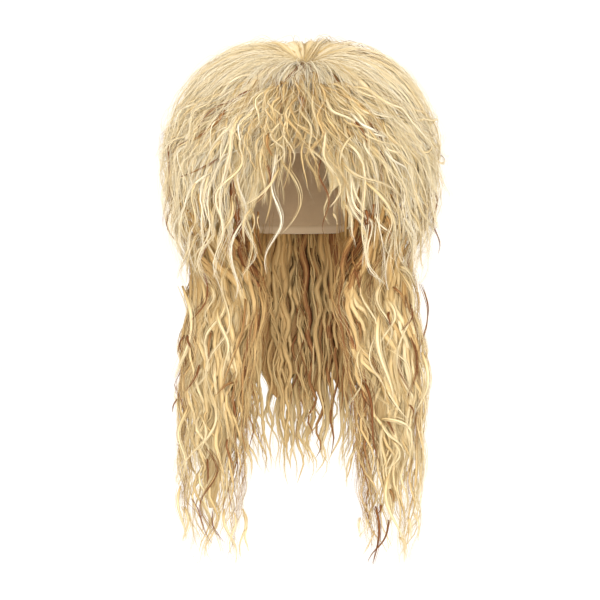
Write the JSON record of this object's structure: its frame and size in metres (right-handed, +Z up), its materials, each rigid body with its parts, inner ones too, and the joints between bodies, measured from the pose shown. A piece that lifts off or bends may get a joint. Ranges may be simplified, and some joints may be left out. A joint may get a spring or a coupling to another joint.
{
  "type": "mullet wig",
  "caption": "Teased mullet wig: puffed crown round a whorl, wispy fringe, flared side layers, wavy tresses hung forward over the shoulders and a long back, on a stretch net cap.",
  "frame": {"origin": "inside top of the cap, where the crown of the wearer's head touches it", "axes": "+Z up when worn, the face looks along -Y, +X to the wearer's left"},
  "size_m": [0.3347, 0.2924, 0.6257],
  "materials": {
    "cap_net": "knitted stretch net, matte",
    "crown_hair": "teased pale blonde synthetic fibre, soft sheen",
    "length_hair": "crimped golden blonde synthetic fibre, soft sheen"
  },
  "bodies": {
    "root": {"wig_cap": "cap_net", "crown_layers": "crown_hair", "fringe": "crown_hair", "side_layers_right": "crown_hair", "side_layers_left": "crown_hair", "tress_right": "length_hair", "tress_left": "length_hair", "back_mane": "length_hair"}
  },
  "joints": []
}
